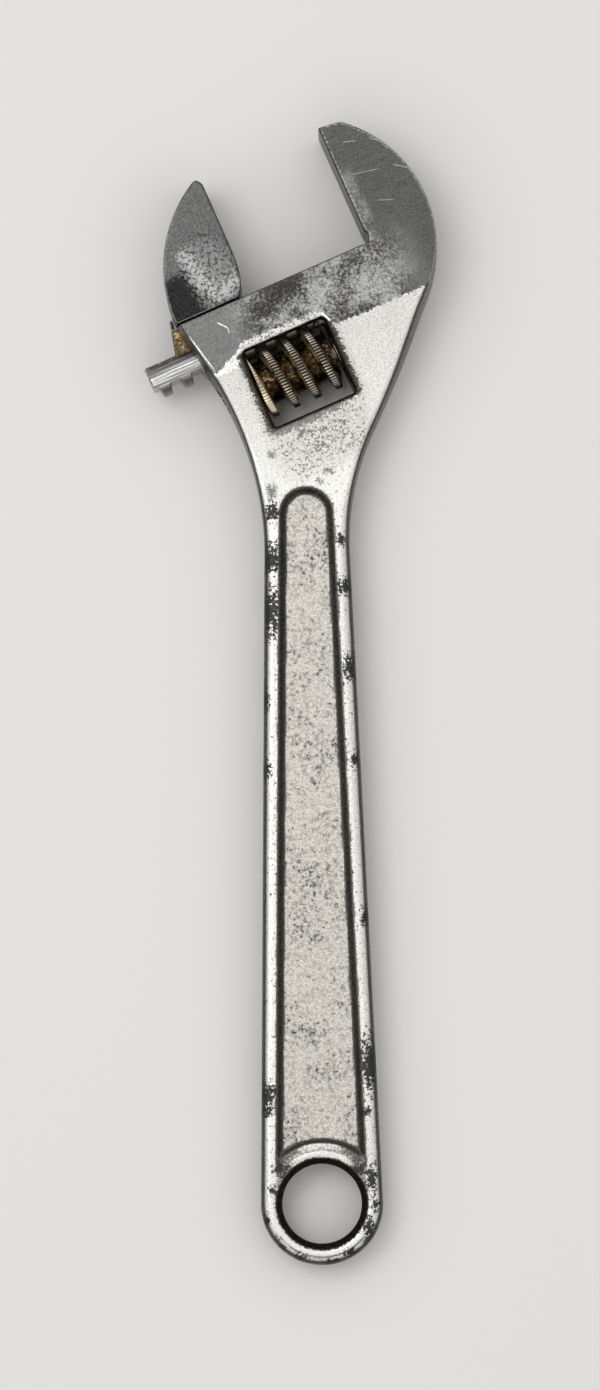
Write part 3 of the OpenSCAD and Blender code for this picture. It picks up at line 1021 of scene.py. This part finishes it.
def add_edge_highlight_and_face_shade(s, n, colour):
    """The worn edge of the ground head with a painted highlight, and painted shade on the face of
    the fixed jaw, over a colour.
    """
    steep = s.mask("steep")
    # Painted highlight on the rounded, worn edge of the ground head
    rubbed_and_lit = s.product(
        s.ramp(s.mask("ground"), 0.2, 1.0),
        s.ramp(steep, 0.02, 0.1),
        s.ramp(steep, 0.75, 0.5),
        s.ramp(n.coarse, 0.35, 0.55),
        s.mask("rub_and_highlight"),
    )
    colour = s.mix(rubbed_and_lit, colour, grey(0.45))
    # Painted shade: the fixed jaw's inner face is made dark
    face = s.mix(s.ramp(n.streak, 0.3, 0.7), grey(0.045), grey(0.1))
    return s.mix(s.mask("jaw_face"), colour, face)


def add_mouth_shade(s, n, colour):
    """Painted shade at the mouths of the hole and the window and inside the bores, over a colour.
    """
    # Painted shade: a dark band round the mouths of the hanging hole and the window
    ring = s.total(s.mask("ring"), s.ramp(n.speck, 0.3, 0.7, -0.25, 0.25))
    darkest = s.mix(n.speck, grey(0.012, 0.25), grey(0.05, 0.25))
    mouth_shade = s.mix(s.ramp(ring, 0.55, 1.05), grey(0.1, 0.12), darkest)
    colour = s.mix(s.ramp(ring, 0.3, 0.6), colour, mouth_shade)
    # Painted shade inside the window, the channel and the pin's bore
    inside = s.mix(n.speck, grey(0.01, 0.2), grey(0.05, 0.25))
    return s.mix(s.mask("inner"), colour, inside)


def add_scratches_and_glints(s, n, colour):
    flat = s.ramp(s.mask("steep"), 0.6, 0.3)
    for start, end, width, strength in SCRATCHES_AND_GLINTS:
        line = s.scratch(start, end, width)
        broken = s.ramp(n.speck, 0.2, 0.5, 0.3, strength)
        # The first two rows are painted highlights on edges, the rest are scratches
        colour = s.mix(s.product(line, broken, flat), colour, grey(0.9))
    return colour


def plated_material():
    s = Surface("plated_steel")
    n = body_noises(s)
    plate = s.mix(s.ramp(s.mask("panel"), 0.8, 0.99), satin_tone(s, n), panel_tone(s, n))
    ragged = s.total(s.mask("ground"), s.ramp(n.speck, 0.3, 0.7, -0.35, 0.35))
    ground = s.product(s.ramp(ragged, -0.1, 0.15), s.ramp(s.mask("steep"), 0.25, 0.5, 1, 0))
    colour = s.mix(ground, plate, ground_tone(s, n))
    colour = add_wall_shade(s, n, colour)
    colour = add_edge_highlight_and_face_shade(s, n, colour)
    worn = s.total(
        s.mask("bare"),
        s.ramp(n.pits, 0.3, 0.7, -0.55, 0.55),
        s.ramp(n.dots, 0.35, 0.65, -0.3, 0.3),
    )
    bare = s.ramp(worn, 0.0, 0.2)
    colour = s.mix(bare, colour, s.mix(n.fine, grey(0.015), grey(0.09)))
    colour = add_mouth_shade(s, n, colour)
    colour = add_scratches_and_glints(s, n, colour)
    satin_rough = s.ramp(n.fine, 0.2, 0.8, 0.3, 0.42)
    roughness = s.blend(ground, satin_rough, s.ramp(n.streak, 0.2, 0.8, 0.3, 0.45))
    roughness = s.blend(s.ramp(s.mask("panel"), 0.5, 1.0), roughness, 0.5)
    roughness = s.blend(bare, roughness, 0.5)
    dents = s.ramp(n.pits, 0.5, 0.65, 0.0, 0.6)
    height = s.math("SUBTRACT", s.product(n.fine, 0.35), dents)
    return s.finish(colour, roughness, height, 0.05)


def jaw_noises(s):
    return SimpleNamespace(
        speck=s.noise(0.5, 3, 0.6),
        pits=s.noise(0.9, 4, 0.65),
        streak=s.noise(0.2, 2, 0.6, (1.5, 25, 1), True),
        grain=s.noise(0.35, 4, 0.7),
        spots=s.noise(0.8, 4, 0.7),
    )


def jaw_face_tone(s, n):
    """The jaw's flat face: ground, with a pale patch, a bright streak, pits and a smudge."""
    face = s.mix(s.ramp(n.streak, 0.3, 0.7), grey(0.085), grey(0.12))
    face = s.mix(s.ramp(n.grain, 0.35, 0.68, 0.0, 0.55), face, grey(0.05))
    face = s.mix(s.ramp(n.speck, 0.35, 0.7, 0.0, 0.15), face, grey(0.45))
    patch = s.total(s.mask("patch"), s.ramp(n.grain, 0.35, 0.65, 0.25, -0.25))
    pale = s.mix(n.speck, grey(0.15), grey(0.32))
    face = s.mix(s.ramp(patch, 0.0, 0.6, 0.0, 0.75), face, pale)
    bright = s.total(
        s.mask("bright"),
        s.ramp(n.grain, 0.35, 0.65, 0.35, -0.35),
        s.ramp(n.spots, 0.35, 0.65, 0.35, -0.35),
    )
    shine = s.mix(n.grain, grey(0.2), grey(0.62))
    face = s.mix(s.ramp(bright, 0.0, 1.0, 0.0, 0.85), face, shine)
    in_patch = s.ramp(s.mask("patch"), -0.3, 0.2)
    pitted = s.product(s.ramp(n.spots, 0.51, 0.58), in_patch, 0.85)
    face = s.mix(pitted, face, grey(0.04))
    smudge = s.total(
        s.mask("smudge"),
        s.ramp(n.spots, 0.3, 0.7, -0.5, 0.5),
        s.ramp(n.grain, 0.3, 0.7, -0.3, 0.3),
    )
    soot = s.mix(s.ramp(n.grain, 0.35, 0.65), grey(0.005), grey(0.028))
    return s.mix(s.ramp(smudge, -0.1, 0.5, 0.0, 0.95), face, soot)


def add_jaw_edge_light_and_shade(s, n, face):
    """Painted shade on the jaw's steep sides and painted highlights on its worn edges, over the
    face's colour.
    """
    steep = s.mask("steep")
    # Painted shade: the jaw's steep sides are darkened
    face = s.mix(s.ramp(steep, 0.15, 0.5, 0.0, 0.6), face, grey(0.1, 0.1))
    # Painted highlight on the rounded, worn edges of the jaw
    rubbed_and_lit = s.product(
        s.ramp(steep, 0.02, 0.1),
        s.ramp(steep, 0.6, 0.4),
        s.ramp(s.mask("along"), 62, 58),
        s.ramp(n.speck, 0.3, 0.6, 0.2, 0.8),
    )
    return s.mix(rubbed_and_lit, face, grey(0.4))


def rack_tone(s, n):
    """The rack bar: bright along its length, greasy at its root and darker on its teeth with
    painted shade.
    """
    run = s.noise(0.35, 2, 0.6, (60, 1, 1), True)
    bar = s.mix(s.ramp(run, 0.35, 0.65), grey(0.2), grey(0.75))
    grimy = s.mix(s.ramp(n.speck, 0.35, 0.65), (0.025, 0.02, 0.014, 1), (0.16, 0.12, 0.07, 1))
    grease = s.mix(s.ramp(s.noise(1.6, 3, 0.6), 0.52, 0.66), grimy, (0.5, 0.36, 0.16, 1))
    bar = s.mix(s.mask("grease"), bar, grease)
    # Painted shade: the teeth below the bar's root are darker
    low = s.ramp(s.mask("up"), TOOTH_ROOT_V + 0.1, TOOTH_ROOT_V - 0.3)
    tooth_shade = s.mix(n.speck, (0.13, 0.12, 0.1, 1), (0.42, 0.39, 0.33, 1))
    return s.mix(s.product(low, s.ramp(n.speck, 0.2, 0.6, 0.5, 1.0)), bar, tooth_shade)


def ground_material():
    s = Surface("ground_steel")
    n = jaw_noises(s)
    face = add_jaw_edge_light_and_shade(s, n, jaw_face_tone(s, n))
    colour = s.mix(s.mask("plate"), rack_tone(s, n), face)
    roughness = s.ramp(n.streak, 0.2, 0.8, 0.28, 0.45)
    dents = s.ramp(n.pits, 0.52, 0.65, 0.0, 0.5)
    height = s.math("SUBTRACT", s.product(n.streak, 0.3), dents)
    return s.finish(colour, roughness, height, 0.04)


def oiled_material():
    """The worm: oily, with painted shade and reflection in its grooves, painted highlights on its
    golden flanks and left end, and painted shade in its crest's notches.
    """
    s = Surface("oiled_steel")
    speck = s.noise(0.7, 3, 0.6)
    film = s.noise(2.4, 3, 0.6)
    # Painted shade: the grooves between the crests are near black
    dark = s.mix(s.ramp(speck, 0.3, 0.7), (0.008, 0.005, 0.003, 1), (0.05, 0.032, 0.016, 1))
    # Painted reflection: golden glints on the floor of the grooves
    shine = s.product(s.ramp(film, 0.5, 0.62), s.ramp(speck, 0.45, 0.7))
    dark = s.mix(shine, dark, (0.42, 0.29, 0.13, 1))
    # Golden oil on the flanks, lightened as a painted highlight
    gold = s.mix(s.ramp(film, 0.36, 0.56), dark, (0.75, 0.6, 0.36, 1))
    radius = s.mask("radius")
    flank = s.product(s.ramp(radius, 5.3, 5.8), s.ramp(radius, 7.5, 7.3))
    tone = s.mix(flank, dark, gold)
    # Painted shade in the notches of the crest
    notched = s.ramp(s.mask("notch"), 0.3, 0.7)
    crest = s.mix(notched, (0.42, 0.385, 0.32, 1), grey(0.03, 0.15))
    tone = s.mix(s.ramp(radius, 7.2, 7.4), tone, crest)
    # Painted highlight on the flank at the worm's left end
    end = s.product(s.ramp(s.mask("along"), 62.6, 61.9), s.ramp(radius, 5.3, 5.8), 0.8)
    tone = s.mix(end, tone, (0.75, 0.66, 0.48, 1))
    return s.finish(tone, s.ramp(film, 0.3, 0.7, 0.25, 0.5), speck, 0.04)


def plain_steel(name, low, high):
    s = Surface(name)
    speck = s.noise(0.5, 3, 0.6)
    colour = s.mix(s.ramp(speck, 0.3, 0.7), low, high)
    return s.finish(colour, s.ramp(speck, 0.3, 0.7, 0.3, 0.5), speck, 0.03)


def add_floor():
    """A wide pale floor, tilted a little so that the handle's end and the head both rest on it."""
    tilt = (HEAD_H - HANDLE_H) / (SHOULDER_REST_Y - END_REST_Y)
    count = 9
    across = np.linspace(-FLOOR_HALF, FLOOR_HALF, count)
    rows = np.array([(x, y, 0) for y in across for x in across])
    rows[:, 2] = -HANDLE_H - (rows[:, 1] - END_REST_Y) * tilt
    index = np.arange(count * count).reshape(count, count)
    corner_rows = [index[:-1, :-1], index[:-1, 1:], index[1:, 1:], index[1:, :-1]]
    faces = np.stack(corner_rows, 2).reshape(-1, 4).tolist()
    s = Surface("pale_floor")
    s.shader.inputs["Base Color"].default_value = (0.78, 0.772, 0.76, 1)
    s.shader.inputs["Roughness"].default_value = 0.85
    floor = add_mesh("floor", rows, faces, s.material)


def add_world():
    """A soft ceiling: bright overhead, dark near the horizon. The camera sees an even wall."""
    world = bpy.data.worlds.new("studio")
    bpy.context.scene.world = world
    world.use_nodes = True
    tree = world.node_tree
    background = tree.nodes["Background"]
    coordinates = tree.nodes.new("ShaderNodeTexCoord")
    split = tree.nodes.new("ShaderNodeSeparateXYZ")
    level = tree.nodes.new("ShaderNodeMapRange")
    level.interpolation_type = "SMOOTHSTEP"
    level.inputs["From Min"].default_value = 0.22
    level.inputs["From Max"].default_value = 0.6
    level.inputs["To Min"].default_value = 0.08
    level.inputs["To Max"].default_value = 0.95
    tree.links.new(coordinates.outputs["Generated"], split.inputs[0])
    tree.links.new(split.outputs["Z"], level.inputs["Value"])
    seen = tree.nodes.new("ShaderNodeLightPath")
    pick = tree.nodes.new("ShaderNodeMix")
    pick.data_type = "FLOAT"
    tree.links.new(seen.outputs["Is Camera Ray"], pick.inputs[0])
    tree.links.new(level.outputs["Result"], pick.inputs[2])
    pick.inputs[3].default_value = 0.62
    tree.links.new(pick.outputs[0], background.inputs["Strength"])
    background.inputs["Color"].default_value = (1, 0.99, 0.975, 1)


def add_light():
    data = bpy.data.lights.new("softbox", "AREA")
    data.shape = "RECTANGLE"
    data.size = 0.5
    data.size_y = 0.5
    data.energy = 2.0
    light = bpy.data.objects.new("softbox", data)
    light.location = (-0.35, 0.3, 0.9)
    light.rotation_euler = (math.radians(-12), math.radians(-20), 0)
    bpy.context.scene.collection.objects.link(light)


def add_camera():
    """Nearly straight above the hanging hole, well back, looking at the wrench's middle."""
    eye = np.array(CAMERA_EYE)
    target = np.array(CAMERA_TARGET)
    distance = np.linalg.norm(eye - target)
    up = np.array([math.sin(CAMERA_TURN), math.cos(CAMERA_TURN), 0])
    back = (eye - target) / distance
    right = np.cross(up, back)
    right /= np.linalg.norm(right)
    data = bpy.data.cameras.new("camera")
    data.sensor_width = SENSOR_SIZE
    data.lens = SENSOR_SIZE * distance / FRAME_HEIGHT
    camera = bpy.data.objects.new("camera", data)
    axes = np.stack([right, np.cross(back, right), back], 1)
    camera.rotation_euler = Matrix(axes.tolist()).to_euler()
    camera.location = (eye * MM).tolist()
    bpy.context.scene.collection.objects.link(camera)
    bpy.context.scene.camera = camera


def take_place(piece, body, node):
    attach(piece, body)
    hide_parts(node)


bpy.context.scene.view_settings.view_transform = "Standard"
add_camera()
add_world()
add_light()
add_floor()
take_place(make_body(plated_material()), "wrench", "handle_body")
take_place(make_jaw(ground_material()), "jaw", "sliding_jaw")
take_place(make_worm(oiled_material()), "worm", "worm_knurl")
pin_steel = plain_steel("pin_steel", grey(0.12), grey(0.4))
take_place(make_pin(pin_steel), "wrench", "worm_pin")
spring_steel = plain_steel("spring_steel", grey(0.1, 0.1), grey(0.35, 0.1))
take_place(make_spring(spring_steel), "wrench", "pin_spring")
